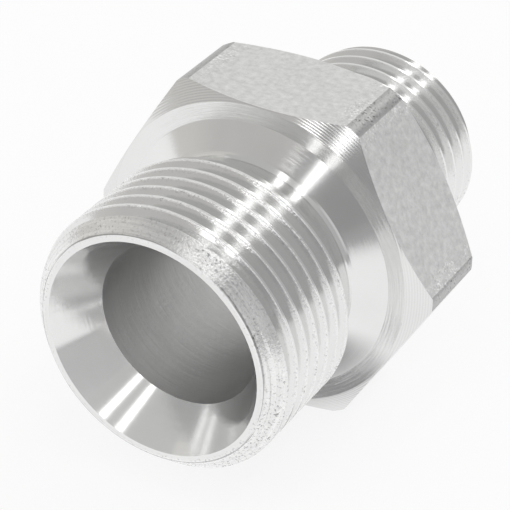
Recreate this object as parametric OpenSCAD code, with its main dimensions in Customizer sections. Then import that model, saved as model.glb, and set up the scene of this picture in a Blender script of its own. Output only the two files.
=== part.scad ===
// Reducing adapter: a one-piece turned fitting with a large and a small parallel pipe thread.
// It lies on one flat of its hexagon, with the large end towards -Y and the small end towards +Y.
// All sizes are in millimetres.

/* [Large end] */
// Outside diameter of the large thread (G 3/4)
large_thread_d = 26.441; // [25.6:0.001:28]
// Pitch of the large thread, 14 threads to the inch
large_pitch = 1.814; // [1.4:0.001:2]
// Length from the large end face to the hexagon
large_end_l = 18.4; // [17:0.1:22]
// Diameter of the bore at the large end
large_bore_d = 16.5; // [14:0.1:18]
// Diameter of the sealing cone's mouth at the large end
large_mouth_d = 21.9; // [20.5:0.1:22.3]
// Depth that the large bore reaches from the large end face
large_bore_l = 25; // [20:0.5:27]

/* [Small end] */
// Outside diameter of the small thread (G 1/2)
small_thread_d = 20.955; // [20.2:0.001:22]
// Pitch of the small thread, 14 threads to the inch
small_pitch = 1.814; // [1.4:0.001:2]
// Length from the hexagon to the small end face
small_end_l = 15.9; // [14:0.1:20]
// Diameter of the bore through the small end
small_bore_d = 12.5; // [10:0.1:13.5]
// Diameter of the sealing cone's mouth at the small end
small_mouth_d = 16.6; // [15:0.1:16.8]

/* [Hexagon] */
// Width of the hexagon across its flats
hex_af = 32; // [31.5:0.1:36]
// Length of the hexagon along the axis
hex_l = 10.9; // [8:0.1:14]
// Diameter that the hexagon's corners are turned to
hex_corner_d = 36.2; // [34:0.1:36.3]
// How far the turned face stays inside the flats
hex_face_inset = 0.1; // [0.1:0.05:0.8]
// Angle between the hexagon's chamfer and its face
hex_chamfer_angle = 30; // [20:1:35]

/* [Thread form] */
// Angle between the two flanks of a thread groove
flank_angle = 55; // [50:1:60]
// Flat left on the crest, as a share of the pitch
crest_share = 0.1667; // [0.12:0.01:0.2]
// Segments in one turn of a thread
thread_segments = 40; // [24:4:44]

/* [Shoulders and cones] */
// Full angle of the sealing cone in each end
seat_angle = 60; // [55:1:70]
// Width of the lead-in chamfer on the large end
large_lead_in = 1.6; // [1.45:0.05:1.8]
// Width of the lead-in chamfer on the small end
small_lead_in = 0.9; // [0.7:0.05:1.3]
// Depth of the relief groove behind each thread, below the crest
relief_depth = 2; // [1.5:0.05:2.1]
// Length of the relief groove, from its edge in the crest to its wall
relief_l = 4.25; // [3.8:0.05:4.6]
// Radius in the corner of the relief groove
relief_r = 0.9; // [0.5:0.05:1.1]
// How far the conical collar stands out beyond the crest
collar_step = 0.95; // [0.6:0.05:1]

/* [Hidden] */

// Azimuth 0 of both threads: distance of a groove's middle from the end face
large_groove_z = -1.28;
small_groove_z = -1.269;
// The cutter stands this far outside the crest
overshoot = 0.4;
// Each threaded end reaches this far into the hexagon
end_overlap = 1;
// The bore's cutter reaches this far beyond both end faces
bore_overshoot = 1;
// The thread groove runs out this far past the middle of the relief groove
run_out_past = 0.25;
// Groove depth and root radius of the 55 degree form, as shares of the pitch
depth_share = 0.640327;
root_share = 0.137329;
// Angle of the corner fillet where it meets the conical collar
relief_arc = 65;
arc_steps = 5;
drill_angle = 118;
steel = [0.72, 0.72, 0.71];

// Half the width of a thread groove at a distance below the crest
function groove_half_width(pitch, below) = pitch * (1 - crest_share) / 2 - below * tan(flank_angle / 2);

// Outline of a thread groove as [radius, offset along the axis]
function groove_section(d, pitch) =
    let (root_r = root_share * pitch,
         root_centre = d / 2 - depth_share * pitch + root_r,
         outer = groove_half_width(pitch, -overshoot),
         end_angle = 90 - flank_angle / 2,
         step = end_angle * 2 / 3)
    concat(
        [[d / 2 + overshoot, -outer]],
        [for (k = [0 : 3]) let (a = -end_angle + k * step)
            [root_centre - root_r * cos(a), root_r * sin(a)]],
        [[d / 2 + overshoot, outer]]);

// Cutter for a right-handed thread groove that starts at z_start on azimuth 0
module helical_groove(d, pitch, z_start, z_end) {
    section = groove_section(d, pitch);
    m = len(section);
    n = round((z_end - z_start) / pitch * thread_segments);
    points = [for (i = [0 : n]) let (a = 360 * i / thread_segments, z = z_start + pitch * i / thread_segments)
              for (q = section) [q[0] * cos(a), q[0] * sin(a), z + q[1]]];
    sides = [for (i = [0 : n - 1]) for (j = [0 : m - 1])
             let (a = i * m + j, b = i * m + (j + 1) % m, c = a + m, e = b + m)
             for (t = [[a, c, e], [a, e, b]]) t];
    start_cap = [[for (j = [0 : m - 1]) j]];
    end_cap = [[for (j = [m - 1 : -1 : 0]) n * m + j]];
    polyhedron(points = points, faces = concat(sides, start_cap, end_cap), convexity = 10);
}

// Outline of a threaded end before threading, from its end face at 0 to the hexagon at end_l
function end_outline(d, end_l, lead_in) =
    let (crest = d / 2,
         floor_r = crest - relief_depth,
         collar_r = crest + collar_step,
         wall_r = floor_r + relief_r * (1 - cos(relief_arc)),
         wall_z = end_l - (collar_r - wall_r) * tan(hex_chamfer_angle),
         arc_z = wall_z - relief_r * sin(relief_arc),
         edge_z = wall_z - relief_l)
    concat(
        [[0, 0], [crest - lead_in, 0], [crest, lead_in], [crest, edge_z]],
        [[floor_r, edge_z + relief_depth]],
        [for (k = [0 : arc_steps]) let (a = relief_arc * k / arc_steps)
            [floor_r + relief_r * (1 - cos(a)), arc_z + relief_r * sin(a)]],
        [[collar_r, end_l], [collar_r, end_l + end_overlap], [0, end_l + end_overlap]]);

// Just past the middle of the relief groove, where the thread groove runs out
function run_out_z(end_l) =
    end_l - (relief_depth + collar_step) * tan(hex_chamfer_angle) - relief_l / 2 + run_out_past;

// One threaded end, with its end face at 0 and its axis on Z
module threaded_end(d, pitch, end_l, lead_in, groove_z) {
    difference() {
        rotate_extrude($fn = 120) polygon(end_outline(d, end_l, lead_in));
        helical_groove(d, pitch, groove_z, run_out_z(end_l));
    }
}

// Hexagon from 0 to hex_l, with turned corners and a turned chamfer on both faces
module hexagon() {
    face_r = hex_af / 2 - hex_face_inset;
    corner_r = hex_corner_d / 2;
    drop = (corner_r - face_r) * tan(hex_chamfer_angle);
    intersection() {
        cylinder(h = hex_l, d = hex_af / cos(30), $fn = 6);
        rotate_extrude($fn = 120) polygon([
            [0, 0], [face_r, 0], [corner_r, drop],
            [corner_r, hex_l - drop], [face_r, hex_l], [0, hex_l]]);
    }
}

// Stepped bore with a sealing cone in each mouth, from the large end face at 0
module stepped_bore(total_l) {
    large_r = large_bore_d / 2;
    small_r = small_bore_d / 2;
    large_cone_l = (large_mouth_d / 2 - large_r) / tan(seat_angle / 2);
    small_cone_l = (small_mouth_d / 2 - small_r) / tan(seat_angle / 2);
    drill_l = (large_r - small_r) / tan(drill_angle / 2);
    flare = bore_overshoot * tan(seat_angle / 2);
    far_end = total_l + bore_overshoot;
    rotate_extrude($fn = 120) polygon([
        [0, -bore_overshoot], [large_mouth_d / 2 + flare, -bore_overshoot],
        [large_r, large_cone_l], [large_r, large_bore_l],
        [small_r, large_bore_l + drill_l], [small_r, total_l - small_cone_l],
        [small_mouth_d / 2 + flare, far_end], [0, far_end]]);
}

// The whole fitting, laid on a flat of its hexagon with the hexagon's middle over the origin
module adapter_body() {
    total_l = large_end_l + hex_l + small_end_l;
    color(steel)
    translate([0, -large_end_l - hex_l / 2, hex_af / 2])
    rotate([-90, 0, 0])
    difference() {
        union() {
            threaded_end(large_thread_d, large_pitch, large_end_l, large_lead_in, large_groove_z);
            translate([0, 0, large_end_l]) hexagon();
            translate([0, 0, total_l]) rotate([180, 0, 0])
                threaded_end(small_thread_d, small_pitch, small_end_l, small_lead_in, small_groove_z);
        }
        stepped_bore(total_l);
    }
}

adapter_body();
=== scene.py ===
# %% [markdown]
# A reducing adapter is one piece of steel bar, turned on a lathe and zinc plated. The packed
# model already has its true shape, with both threads cut in it. So this lesson makes no new
# piece. It gives that one a finish, and builds a small studio round it. A turned part looks the
# way it does because the tool leaves fine rings, and those rings decide where light gathers.

# %% Load the packed part
import math

import bmesh
import bpy
from mathutils import Matrix, Vector

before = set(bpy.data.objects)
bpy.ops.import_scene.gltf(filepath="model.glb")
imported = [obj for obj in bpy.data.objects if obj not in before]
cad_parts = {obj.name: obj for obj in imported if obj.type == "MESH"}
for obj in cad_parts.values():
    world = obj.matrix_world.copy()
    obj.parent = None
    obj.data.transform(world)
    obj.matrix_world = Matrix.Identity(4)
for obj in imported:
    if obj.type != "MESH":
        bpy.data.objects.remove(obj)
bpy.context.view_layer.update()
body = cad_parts["adapter_body"]

# %% [markdown]
# The camera stands where the photograph's camera stood. Its place and lens come from a fit of
# the part's sizes to the photograph. A camera could also be aimed at a point, but that loses the
# small roll that the fit found. A matrix of its right, up and backward directions keeps it.

# %% Camera
CAMERA_PLACE = Vector((0.085596, -0.155848, 0.129699))
CAMERA_FORWARD = Vector((-0.4135, 0.72619, -0.54925)).normalized()
CAMERA_UP = Vector((-0.29288, 0.46509, 0.83541))
FOCAL_PIXELS = 2184.7
PHOTO_PIXELS = 510
SENSOR = 36.0
NEAREST_SEEN = 0.01


def turned(right, up, back):
    """The turn that points an object's own x, y and z axes these ways."""
    return Matrix((right, up, back)).transposed().to_4x4()


right = CAMERA_FORWARD.cross(CAMERA_UP).normalized()
up = right.cross(CAMERA_FORWARD)
camera_data = bpy.data.cameras.new("photo_camera")
camera_data.sensor_width = SENSOR
camera_data.lens = SENSOR * FOCAL_PIXELS / PHOTO_PIXELS
camera_data.clip_start = NEAREST_SEEN
camera = bpy.data.objects.new("photo_camera", camera_data)
camera.matrix_world = Matrix.Translation(CAMERA_PLACE) @ turned(right, up, -CAMERA_FORWARD)
bpy.context.scene.collection.objects.link(camera)
bpy.context.scene.camera = camera
print("lens", round(camera_data.lens, 1), "mm")

# %% [markdown]
# Shader maths could be clicked together in the editor, but then nobody can read what it works
# out. Here it is written as ordinary expressions. This class wraps one socket, and each operator
# adds the Math node that it stands for. Numbers alone are still worked out by Python.

# %% Nodes as expressions
def add_node(tree, kind, settings=None, inputs=None, output=0):
    """A new node with its settings, then its inputs. Gives one of its outputs, if it has any."""
    node = tree.nodes.new(kind)
    for name, value in (settings or {}).items():
        if name == "ramp":
            set_ramp(node.color_ramp, *value)
        else:
            setattr(node, name, value)
    for key, value in (inputs or {}).items():
        if isinstance(value, Value):
            tree.links.new(value.socket, node.inputs[key])
        else:
            node.inputs[key].default_value = value
    return Value(tree, node.outputs[output]) if len(node.outputs) else None


def set_ramp(ramp, interpolation, stops):
    ramp.interpolation = interpolation
    while len(ramp.elements) < len(stops):
        ramp.elements.new(0.5)
    for element, (position, colour) in zip(ramp.elements, stops):
        element.position = position
        element.color = colour


def add_math(tree, operation, *inputs):
    return add_node(tree, "ShaderNodeMath", {"operation": operation}, dict(enumerate(inputs)))


class Value:
    """The output socket of a node, to reckon with."""

    def __init__(self, tree, socket):
        self.tree = tree
        self.socket = socket

    def math(self, operation, *others):
        return add_math(self.tree, operation, self, *others)

    def __add__(self, other):
        return self.math("ADD", other)

    __radd__ = __add__

    def __mul__(self, other):
        return self.math("MULTIPLY", other)

    __rmul__ = __mul__

    def __sub__(self, other):
        return self.math("SUBTRACT", other)

    def __rsub__(self, other):
        return add_math(self.tree, "SUBTRACT", other, self)

    def __truediv__(self, other):
        return self.math("DIVIDE", other)

    def __rtruediv__(self, other):
        return add_math(self.tree, "DIVIDE", other, self)

    def rise(self, low, high):
        """0 below low, 1 above high, and a smooth slope between."""
        settings = {"interpolation_type": "SMOOTHSTEP"}
        return add_node(self.tree, "ShaderNodeMapRange", settings, {0: self, 1: low, 2: high})

    def between(self, low, high, soft=0.05):
        """1 from low to high and 0 outside, with a slope that wide at each end."""
        return self.rise(low - soft, low) * (1 - self.rise(high, high + soft))

    def parts(self):
        """The x, y and z of a vector."""
        split = add_node(self.tree, "ShaderNodeSeparateXYZ", inputs={0: self}).socket.node
        return [Value(self.tree, socket) for socket in split.outputs]


print("operators", [name for name in vars(Value) if name.startswith("__r")], "are reflected")

# %% [markdown]
# The finish needs three numbers at every point: how far along the fitting it is, how far from
# the axis, and at which angle round it. A picture wrapped round the part would have to be drawn
# first. Object coordinates give all three with no picture, and keep the finish on the part in
# every view. They are turned into millimetres from the large end's face, as on a drawing.

# %% Places on the fitting
MM_IN_METRE = 1000.0
AXIS_HEIGHT = 16.0
LARGE_END = 18.4
HEXAGON = 10.9
MIDDLE = LARGE_END + HEXAGON / 2


def new_material(name):
    material = bpy.data.materials.new(name)
    material.use_nodes = True
    material.node_tree.nodes.clear()
    return material, material.node_tree


metal, tree = new_material("zinc_plated_steel")
place = add_node(tree, "ShaderNodeTexCoord", output="Object")
place_x, place_y, place_z = place.parts()
across = place_x * MM_IN_METRE
along = place_y * MM_IN_METRE + MIDDLE
height = place_z * MM_IN_METRE - AXIS_HEIGHT
radius = (across * across + height * height).math("SQRT")
angle = height.math("ARCTAN2", across)
print("the origin is", MIDDLE, "mm from the large face and", AXIS_HEIGHT, "mm below the axis")

# %% [markdown]
# Each surface was cut differently, so each gets a mask: 1 on the surface and 0 off it. Faces
# could be picked by hand, but the sizes already say where one surface ends and the next begins.
#
# The hexagon's flats were never cut. They are the drawn bar's own skin, so they are grainy. Its
# corners were turned round, and so was each face, with a chamfer outside and a flat ring inside.
# The way a facet looks tells these apart: a flat looks sideways, and the ring along the axis.

# %% Masks of the hexagon
CORNER_RADIUS = 18.1
FLAT_STARTS = 15.5
EDGE = 0.02

facet = add_node(tree, "ShaderNodeNewGeometry", output="True Normal")
facet_x, facet_y, facet_z = facet.parts()
faces_ends = facet_y.math("ABSOLUTE")
inside_edges = along.between(LARGE_END + EDGE, LARGE_END + HEXAGON - EDGE, EDGE / 2)
on_side = inside_edges * (1 - faces_ends.rise(0.1, 0.2))
turned_off = radius.rise(CORNER_RADIUS - 0.1, CORNER_RADIUS - 0.04)
corner = on_side * turned_off
on_flat = on_side * radius.rise(FLAT_STARTS, FLAT_STARTS + 0.1) * (1 - turned_off)
near_corner = on_flat * radius.rise(CORNER_RADIUS - 1.1, CORNER_RADIUS - 0.3)
up_to_edges = along.between(LARGE_END - EDGE, LARGE_END + HEXAGON + EDGE, EDGE / 2)
hexagon_face = up_to_edges * faces_ends.rise(0.3, 0.5)
ring_face = hexagon_face * faces_ends.rise(0.92, 0.96)
chamfer = hexagon_face - ring_face
print("masks of the hexagon:", len(tree.nodes), "nodes so far")

# %% [markdown]
# The mouth has three finishes. The lead-in chamfer is torn, because the threading tool ran
# through it. The seat was cut with a fine feed, because it seals. The bore was only drilled. The
# thin rim between lead-in and mouth is nicked along its outer edge, so that edge gets a mask too.

# %% Masks of the mouth
TOTAL = 45.2
LARGE_CREST = 13.2205
LARGE_LEAD_IN = 1.6
MOUTH_RADIUS = 10.95
BORE_RADIUS = 8.25
SEAT_DEPTH = 4.7

outside = radius.rise(MOUTH_RADIUS + 0.2, MOUTH_RADIUS + 0.4)
lead_in = along.between(0.05, LARGE_LEAD_IN, 0.1) * outside
rim_radius = LARGE_CREST - LARGE_LEAD_IN
rim_edge = radius.between(rim_radius - 0.02, rim_radius + 0.1, 0.04) * (1 - along.rise(0.3, 0.4))
seat = along.between(0.0, SEAT_DEPTH) * (1 - radius.rise(MOUTH_RADIUS, MOUTH_RADIUS + 0.1))
bore = along.between(SEAT_DEPTH, TOTAL) * (1 - radius.rise(BORE_RADIUS + 0.03, BORE_RADIUS + 0.15))
print("masks of the mouth:", len(tree.nodes), "nodes so far")

# %% [markdown]
# Cutting the thread rolled a nicked burr on the front edge of each crest, and tore the strip just
# below it. Both could be painted by hand, but they wind round the part many times. The burr's
# rounded edge catches a highlight, which is painted on as a lighter colour.
# Where they lie follows from the thread's phase: the share of a turn that a point is past the
# middle of the groove before it. The crest's flat lies between phases of 0.417 and 0.583. The
# photograph is blurred at the small thread, so its weaker burr is a guess.

# %% Masks of the threads
PITCH = 1.814
LARGE_GROOVE = -1.28
LARGE_THREAD_STOPS = 12.7
SMALL_CREST = 10.4775
SMALL_GROOVE = TOTAL + 1.269
SMALL_THREAD_STARTS = 32.0
SMALL_BURR = 0.4
FULL_TURN = 2 * math.pi


def thread_masks(crest_radius, groove, threaded):
    """The crest, the burr on its front edge, and the strip below the burr."""
    phase = ((along - groove) / PITCH + angle / FULL_TURN).math("FRACT")
    near_crest = radius.rise(crest_radius - 0.13, crest_radius - 0.08) * threaded
    near_strip = radius.rise(crest_radius - 0.35, crest_radius - 0.25) * threaded
    return (
        near_crest * phase.between(0.48, 0.58, 0.02),
        near_crest * phase.between(0.40, 0.44, 0.02),
        near_strip * phase.between(0.30, 0.37),
    )


on_large = along.between(LARGE_LEAD_IN, LARGE_THREAD_STOPS)
on_small = along.rise(SMALL_THREAD_STARTS, SMALL_THREAD_STARTS + 0.2) * SMALL_BURR
large_masks = thread_masks(LARGE_CREST, LARGE_GROOVE, on_large)
small_masks = thread_masks(SMALL_CREST, SMALL_GROOVE, on_small)
on_crest, burr_and_highlight, below_burr = (large + small for large, small in zip(large_masks, small_masks))
torn = lead_in + burr_and_highlight + below_burr * 0.4 + on_crest * 0.3 + corner + near_corner
torn = torn.math("MINIMUM", 1.0)
print("masks of the threads:", len(tree.nodes), "nodes so far")

# %% [markdown]
# The lathe tool leaves rings that are too fine to see one by one. Cutting them in the mesh would
# take millions of faces. A noise that is squeezed along the axis and the radius, and drawn out
# round the part, gives such rings. Squeezed less, it gives broad bands. The facing tool moved
# faster over the hexagon's chamfer and left even ribs, which a sine of the radius gives.

# %% Rings, bands and ribs
RING_DENSITY = 83.0
BAND_DENSITY = 3.5
RIB_SPACING = 0.22


def vector(x, y, z):
    return add_node(tree, "ShaderNodeCombineXYZ", inputs={0: x, 1: y, 2: z})


def round_part(density, change_round):
    return vector(along * density, radius * density, angle * change_round)


def noise(where, scale, detail, rough):
    inputs = {"Vector": where, "Scale": scale, "Detail": detail, "Roughness": rough}
    return add_node(tree, "ShaderNodeTexNoise", inputs=inputs)


rings = noise(round_part(RING_DENSITY, 3.0), 1.0, 2.0, 0.7)
bands = noise(round_part(BAND_DENSITY, 1.2), 1.0, 2.0, 0.6)
# The same sine also paints the chamfer's ribs lighter and darker in turn, as painted light and
# shade.
ribs = (radius * (FULL_TURN / RIB_SPACING)).math("SINE")
print("ribs every", RIB_SPACING, "mm, and", RING_DENSITY, "steps of the ring noise in 1 mm")

# %% [markdown]
# Grain, tearing and blotches have no direction, so they are plain noises on Object coordinates.
# Those are in metres, which is why the scales are so large: 1500 steps in a metre are a grain of
# two thirds of a millimetre, with finer detail in it.

# %% Grain, tearing and blotches
GRAIN = 1500.0
TEARING = 4200.0
BLOTCHES = 160.0

grain = noise(place, GRAIN, 5.0, 0.65)
tearing = noise(place, TEARING, 3.0, 0.6)
blotches = noise(place, BLOTCHES, 4.0, 0.55)
print("steps in mm:", [round(MM_IN_METRE / scale, 2) for scale in (GRAIN, TEARING, BLOTCHES)])

# %% [markdown]
# A thread is stored as flat facets, and shiny metal shows every one. Smooth shading would round
# the crests' edges too. But the part is round, so a facet's own slope along the axis is right,
# and only its direction round the axis is stepped. Keeping the first and taking the second from
# the point's place gives the smooth normal of a turned surface.
#
# The rings tilt that normal to and fro, but never sideways, because they run round the part.
# That is why turned metal draws each lamp out into a bright line across its rings. A bump map
# compares neighbouring pixels, so it loses rings this fine. Turning the normal by a small angle
# in the plane through the axis keeps them, and looks the same from near and far.

# %% Normals of turned metal
RIB_LEAN = 0.13

out_x = across / radius
out_z = height / radius
outward = (facet_x * out_x + facet_z * out_z).math("SIGN")
facet_out = outward * (1 - facet_y * facet_y).math("MAXIMUM", 0.0).math("SQRT")
coarseness = 0.22 + hexagon_face * 0.4 + ring_face * 1.2 + torn * 0.5 + burr_and_highlight * 0.8 + bore * 0.4
lean = (rings - 0.5) * coarseness + ribs * chamfer * RIB_LEAN
lean_out = facet_out - facet_y * lean
lean_along = facet_y + facet_out * lean
turned_normal = vector(lean_out * out_x, lean_along, lean_out * out_z)
print("normals of turned metal:", len(tree.nodes), "nodes so far")

# %% [markdown]
# The hexagon's corners look rounded, not sharp. Rounding them in the mesh would change the
# part's shape. Across each corner's narrow band, the normal alone is swept from the one flat's
# direction to the other's. The flats keep the facets' own normals, which are right for them.

# %% Normals of the corners and flats
SIXTH = FULL_TURN / 6
CORNER_SWEEP = 13.0


def mix_vectors(share, first, second):
    inputs = {"Factor": share, 4: first, 5: second}
    return add_node(tree, "ShaderNodeMix", {"data_type": "VECTOR"}, inputs, output=1)


nearest_corner = (angle / SIXTH).math("ROUND") * SIXTH
past_corner = (angle - nearest_corner) * CORNER_SWEEP
past_corner = past_corner.math("MINIMUM", SIXTH / 2).math("MAXIMUM", -SIXTH / 2)
swept = nearest_corner + past_corner
corner_normal = vector(swept.math("COSINE"), 0.0, swept.math("SINE"))
cut_normal = mix_vectors(corner, turned_normal, corner_normal)
smooth_normal = mix_vectors(on_flat, cut_normal, facet)
print("each corner is swept over", round(math.degrees(SIXTH / CORNER_SWEEP), 1), "degrees")

# %% [markdown]
# Bump carries what has no direction: the grain of the bar's skin and the torn spots. Real dents in
# the mesh would be far too many. Its height is in metres, because the part is. The torn spots also
# come as two masks. One holds bright specks, which are partly painted glints. The other holds dark
# pits, which hold painted shade. Both are thicker in some patches.

# %% Bump, specks and pits
BUMP_HEIGHT = 0.000012

relief = (grain - 0.5) * on_flat * 1.6 + (tearing - 0.5) * torn * 2.4
bump_inputs = {"Strength": 1.0, "Distance": BUMP_HEIGHT, "Height": relief, "Normal": smooth_normal}
bumped = add_node(tree, "ShaderNodeBump", inputs=bump_inputs)
patchy = torn * (0.3 + blotches.rise(0.46, 0.60) * 0.7)
specks_and_glints = tearing.rise(0.57, 0.66) * patchy
shaded_pits = (1 - tearing.rise(0.36, 0.44)) * patchy
print("bump of", BUMP_HEIGHT * MM_IN_METRE, "mm")

# %% [markdown]
# Zinc on steel is one plain grey, so a flat colour would almost do. Its surfaces still differ a
# little. Scraped spots are brighter, and their bright specks are partly painted glints. The rolled
# burr is painted brighter as the highlight on its rounded edge. Pits are painted darker as shade
# in them, the chamfer's ribs get painted light and shade, and turned corners are darker. Each line
# below says how much lighter or darker one surface or mark is than bare metal.

# %% Shade of each surface
BARE_METAL = 0.80

surfaces = (
    BARE_METAL
    - on_flat * 0.03
    - corner * 0.28
    - chamfer * 0.03
    + lead_in * 0.02
    # painted highlight: the burr is made lighter, as its rounded edge would catch the lamps
    + burr_and_highlight * 0.12
    - on_crest * 0.02
    + seat * 0.04
    + bore * 0.04
)
marks = (
    (blotches - 0.5) * 0.10
    + (grain - 0.5) * on_flat * 0.50
    + (bands - 0.5) * lead_in * 0.35
    # painted light and shade: the chamfer's ribs are lighter and darker in turn
    + ribs * chamfer * 0.02
    - rim_edge * bands.rise(0.46, 0.54) * 0.4
    # partly painted glints: bright specks on the torn spots, brighter near the corners
    + specks_and_glints * (0.2 + near_corner * 0.3)
    # painted shade: the torn spots' pits are darker, less so near the corners
    - shaded_pits * (0.45 - near_corner * 0.3)
)
shade = surfaces + marks
print("bare metal", BARE_METAL, "and its marks:", len(tree.nodes), "nodes so far")

# %% [markdown]
# Roughness sets how sharply the metal mirrors: a turned surface well, the bar's skin and the
# drilled bore poorly. The seat and the burr look paler in the photograph than a plain mirror
# does. More light on them would bleach the rest, so a share of them is made dull instead: it
# isn't metallic, and is lit from all round.

# %% Roughness and shader
SMOOTHEST = 0.13
BLUE_SHARE = 0.995

roughness = SMOOTHEST + on_flat * 0.3 + corner * 0.3 + bore * 0.26 + torn * 0.06
roughness = roughness + (blotches - 0.5) * 0.08
dull = seat * 0.2 + burr_and_highlight * 0.3 + specks_and_glints * 0.3
colour_inputs = {0: shade, 1: shade, 2: shade * BLUE_SHARE}
colour = add_node(tree, "ShaderNodeCombineColor", inputs=colour_inputs)
finish = {"Base Color": colour, "Metallic": 1 - dull, "Roughness": roughness, "Normal": bumped}
shader = add_node(tree, "ShaderNodeBsdfPrincipled", inputs=finish)
add_node(tree, "ShaderNodeOutputMaterial", inputs={0: shader})
for material_slot in body.material_slots:
    material_slot.link = "OBJECT"
    material_slot.material = metal
print("finish on", len(body.material_slots), "slot of", body.name)

# %% [markdown]
# Metal shows what stands round it, so the studio matters as much as the finish. The world is
# white to the camera and in reflections. If it lit the part as strongly, the lamps on top would
# bleach it. So it lights dull surfaces a little less, and the lamps add the rest, up to the
# plain level at which a colour looks as it is written.

# %% World
WORLD_LIGHT = 0.75


def seen_by(nodes, first, *others):
    """1 for light rays of these kinds, and 0 for all others."""
    seen = add_node(nodes, "ShaderNodeLightPath", output=f"Is {first} Ray")
    for kind in others:
        ray = add_node(nodes, "ShaderNodeLightPath", output=f"Is {kind} Ray")
        seen = seen.math("MAXIMUM", ray)
    return seen


WHITE = (1, 1, 1, 1)
world = bpy.data.worlds.new("studio")
bpy.context.scene.world = world
world.use_nodes = True
sky = world.node_tree
sky.nodes.clear()
shown = seen_by(sky, "Camera", "Glossy", "Transmission")
light = add_node(sky, "ShaderNodeBackground", inputs={"Color": WHITE, "Strength": WORLD_LIGHT})
white = add_node(sky, "ShaderNodeBackground", inputs={"Color": WHITE, "Strength": 1.0})
mixed = add_node(sky, "ShaderNodeMixShader", inputs={0: shown, 1: light, 2: white})
add_node(sky, "ShaderNodeOutputWorld", inputs={0: mixed})
print("world shows 1 and lights with", WORLD_LIGHT)

# %% [markdown]
# The floor is a plain white sheet. A sheet that only takes light turns grey in a render. So the
# camera sees most of it as pure white, while the rest is painted and keeps the part's soft
# shadow. Reflections show it white too, but with the shadow under the part, and greyer in front,
# where the light on the sheet ends.

# %% Floor
FLOOR_SIZE = 4.0
PAINT = (0.92, 0.92, 0.92, 1)


def new_sheet(name, operator, **shape):
    """One bmesh shape as part of the studio, with an empty material."""
    shaping = bmesh.new()
    operator(shaping, **shape)
    mesh = bpy.data.meshes.new(name)
    shaping.to_mesh(mesh)
    shaping.free()
    sheet = bpy.data.objects.new(name, mesh)
    bpy.context.scene.collection.objects.link(sheet)
    material, nodes = new_material(name)
    material.cycles.emission_sampling = "NONE"
    mesh.materials.append(material)
    print(name, "is", [round(side, 2) for side in sheet.dimensions], "m")
    return sheet, nodes


floor_shape = {"x_segments": 2, "y_segments": 2, "size": FLOOR_SIZE / 2}
floor_nodes = new_sheet("floor", bmesh.ops.create_grid, **floor_shape)[1]
paint = add_node(floor_nodes, "ShaderNodeBsdfDiffuse", inputs={"Color": PAINT})

# %% [markdown]
# Reflections show a glow in place of the paint, so the part's real shadow and the end of the
# light are missing from them. They could show the paint, but then the lamps' light on it would
# set the metal's tones. So both are drawn, for reflections alone: the shadow as an ellipse that
# fades out, and the end of the light as a slope towards the camera's side.

# %% Look of the floor
FLOOR_SHOWS_WHITE = 0.85
FRONT_OF_FLOOR = 0.40
FRONT_BEGINS, FRONT_ENDS = 0.08, 0.22
UNDER_PART = 0.3
SHADOW_PLACE = (0.006, -0.011)
SHADOW_RADII = (0.010, 0.006)

spot = add_node(floor_nodes, "ShaderNodeTexCoord", output="Object")
to_right, to_back = spot.parts()[:2]
in_front = (to_right * 0.45 - to_back * 0.9).rise(FRONT_BEGINS, FRONT_ENDS)
beside = (to_right - SHADOW_PLACE[0]) / SHADOW_RADII[0]
behind = (to_back - SHADOW_PLACE[1]) / SHADOW_RADII[1]
under_part = 1 - (beside * beside + behind * behind).math("SQRT").rise(0.35, 1.3)
mirrored = seen_by(floor_nodes, "Glossy", "Transmission")
bright = 1 - mirrored * in_front * (1 - FRONT_OF_FLOOR)
bright = bright * (1 - mirrored * under_part * (1 - UNDER_PART))
grey = add_node(floor_nodes, "ShaderNodeCombineColor", inputs={0: bright, 1: bright, 2: bright})
glow = add_node(floor_nodes, "ShaderNodeEmission", inputs={"Color": grey})
share = (seen_by(floor_nodes, "Camera") * FLOOR_SHOWS_WHITE).math("MAXIMUM", mirrored)
look = add_node(floor_nodes, "ShaderNodeMixShader", inputs={0: share, 1: paint, 2: glow})
add_node(floor_nodes, "ShaderNodeOutputMaterial", inputs={0: look})
print("floor:", len(floor_nodes.nodes), "nodes")

# %% [markdown]
# Bright metal on white has no form unless something darker stands round it. Photographers hang
# up grey cards. Here the part stands in a round tent of cloth, because a smooth run of grey
# leaves no edges in the metal. The roof is one plain grey. Only reflections show the tent, so it
# takes no light away.

# %% Roof of the tent
TENT_RADIUS = 1.5
TENT_HEIGHT = 1.5
ROOF_GREY = (0.54, 0.54, 0.53, 1)


def only_mirrored(sheet, nodes, colour):
    """Reflections show the sheet in this colour, and nothing else shows it."""
    clear = add_node(nodes, "ShaderNodeBsdfTransparent")
    cloth = add_node(nodes, "ShaderNodeEmission", inputs={"Color": colour})
    mirrored = seen_by(nodes, "Glossy", "Transmission")
    look = add_node(nodes, "ShaderNodeMixShader", inputs={0: mirrored, 1: clear, 2: cloth})
    add_node(nodes, "ShaderNodeOutputMaterial", inputs={0: look})
    sheet.visible_camera = False
    sheet.visible_shadow = False


roof_place = Matrix.Translation((0, 0, TENT_HEIGHT))
roof_shape = {"x_segments": 2, "y_segments": 2, "size": TENT_RADIUS, "matrix": roof_place}
roof, roof_nodes = new_sheet("roof", bmesh.ops.create_grid, **roof_shape)
only_mirrored(roof, roof_nodes, ROOF_GREY)

# %% [markdown]
# The wall's grey runs from dark on the camera's side to light behind the part, with one lighter
# stripe to the right of the camera. It could be hung as several cards, but each would show its
# edge in the metal. One round wall has none, and a Color Ramp over the angle round the part gives
# it its greys, each running into the next. The table gives that angle in degrees from the front,
# positive to the right. The greys were set until the part's surfaces had the photograph's tones.

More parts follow.
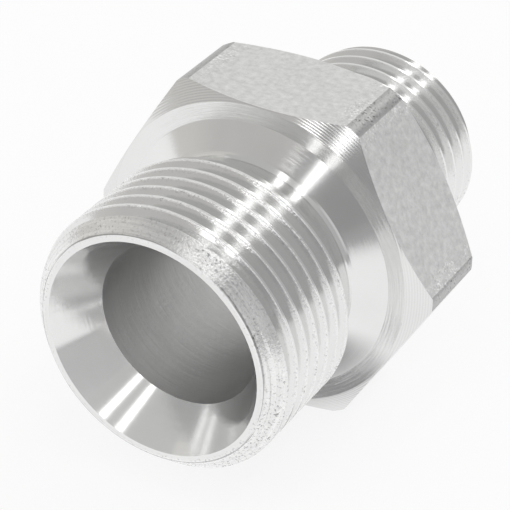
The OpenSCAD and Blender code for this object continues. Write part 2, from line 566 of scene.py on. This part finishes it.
# %% Wall of the tent
WALL_CORNERS = 64
WALL_GREYS = (
    (-180, (0.86, 0.86, 0.85, 1)),
    (-124, (0.84, 0.84, 0.83, 1)),
    (-86, (0.69, 0.68, 0.66, 1)),
    (-60, (0.66, 0.65, 0.63, 1)),
    (-44, (0.57, 0.56, 0.55, 1)),
    (-10, (0.53, 0.52, 0.51, 1)),
    (4, (0.34, 0.34, 0.34, 1)),
    (30, (0.34, 0.34, 0.34, 1)),
    (42, (0.66, 0.66, 0.66, 1)),
    (54, (0.66, 0.66, 0.66, 1)),
    (66, (0.50, 0.50, 0.50, 1)),
    (155, (0.52, 0.52, 0.52, 1)),
    (172, (0.86, 0.86, 0.85, 1)),
)

wall_shape = {
    "segments": WALL_CORNERS,
    "radius1": TENT_RADIUS,
    "radius2": TENT_RADIUS,
    "depth": TENT_HEIGHT,
    "matrix": Matrix.Translation((0, 0, TENT_HEIGHT / 2)),
}
wall, wall_nodes = new_sheet("tent_wall", bmesh.ops.create_cone, **wall_shape)
spot = add_node(wall_nodes, "ShaderNodeTexCoord", output="Object")
to_right, to_back = spot.parts()[:2]
round_front = to_right.math("ARCTAN2", to_back * -1.0) / FULL_TURN + 0.5
stops = [(degrees / 360 + 0.5, grey) for degrees, grey in WALL_GREYS]
greys = add_node(wall_nodes, "ShaderNodeValToRGB", {"ramp": ("EASE", stops)}, {0: round_front})
only_mirrored(wall, wall_nodes, greys)
print("greys round the part:", len(stops))

# %% [markdown]
# Where must a lamp stand to put a highlight on a chosen spot? It could be found by trying, but
# that is slow, and one line of maths tells it. The surface there acts as a mirror, so the lamp
# lies on the camera's direction mirrored in the surface's normal.
#
# Rings on turned metal spread that along the plane through the axis. So a row of highlights down
# the whole part, all at one angle round it, needs a row of lamps, each mirrored in a normal that
# leans further towards the end face.

# %% Where a lamp must stand
TO_CAMERA = -CAMERA_FORWARD
TO_LARGE_END = Vector((0, -1, 0))


def leaning_normal(angle, lean):
    """At an angle round the axis, 90 on top, and so many degrees towards the large end."""
    around, tilt = math.radians(angle), math.radians(lean)
    outwards = Vector((math.cos(around), 0, math.sin(around)))
    return outwards * math.cos(tilt) + TO_LARGE_END * math.sin(tilt)


def lamp_direction(angle, lean):
    normal = leaning_normal(angle, lean)
    return (2 * normal.dot(TO_CAMERA) * normal - TO_CAMERA).normalized()


print("on top of the part:", [round(part, 2) for part in lamp_direction(90, 0)])

# %% [markdown]
# The photograph shows two rows of highlights. Each lamp is a soft rectangle with its long side
# along its row. One long lamp would light the whole row evenly, but the photograph's rows are
# brighter in some places. So each row has four lamps, each with its own width, length and
# brightness, set against the photograph.

# %% Lamps
LAMP_DISTANCE = 1.2
PART_MIDDLE = Vector((0, -0.01, 0.016))
RIGHT_ROW = 60.5
LEFT_ROW = 71.5
LAMPS = (
    # name, angle round the axis, lean, width, length, brightness
    ("right_row_0", RIGHT_ROW, 2, 0.12, 0.70, 2.0),
    ("right_row_1", RIGHT_ROW, 24, 0.14, 0.95, 2.1),
    ("right_row_2", RIGHT_ROW, 43, 0.14, 0.60, 1.6),
    ("right_row_3", RIGHT_ROW, 61, 0.085, 0.60, 2.0),
    ("left_row_0", LEFT_ROW, 2, 0.12, 0.70, 1.9),
    ("left_row_1", LEFT_ROW, 24, 0.15, 0.95, 1.9),
    ("left_row_2", LEFT_ROW, 43, 0.13, 0.50, 1.5),
    ("left_row_3", LEFT_ROW, 65, 0.12, 0.42, 2.0),
)


def soft_lamp(name, angle, lean, wide, long, brightness):
    direction = lamp_direction(angle, lean)
    row = (lamp_direction(angle, lean + 1) - direction).normalized()
    side = row.cross(direction).normalized()
    lamp_data = bpy.data.lights.new(name, "AREA")
    lamp_data.shape = "RECTANGLE"
    lamp_data.size = wide
    lamp_data.size_y = long
    lamp_data.energy = brightness * math.pi * wide * long
    lamp = bpy.data.objects.new(name, lamp_data)
    turn = turned(side, direction.cross(side), direction)
    lamp.matrix_world = Matrix.Translation(PART_MIDDLE + direction * LAMP_DISTANCE) @ turn
    lamp.visible_camera = False
    bpy.context.scene.collection.objects.link(lamp)
    print(name, "stands at", [round(part, 2) for part in lamp.location])


for lamp in LAMPS:
    soft_lamp(*lamp)

# %% [markdown]
# The view transform is Standard, so that a colour looks as it is written. A filmic one would dim
# the white floor.

# %% View transform
bpy.context.scene.view_settings.view_transform = "Standard"
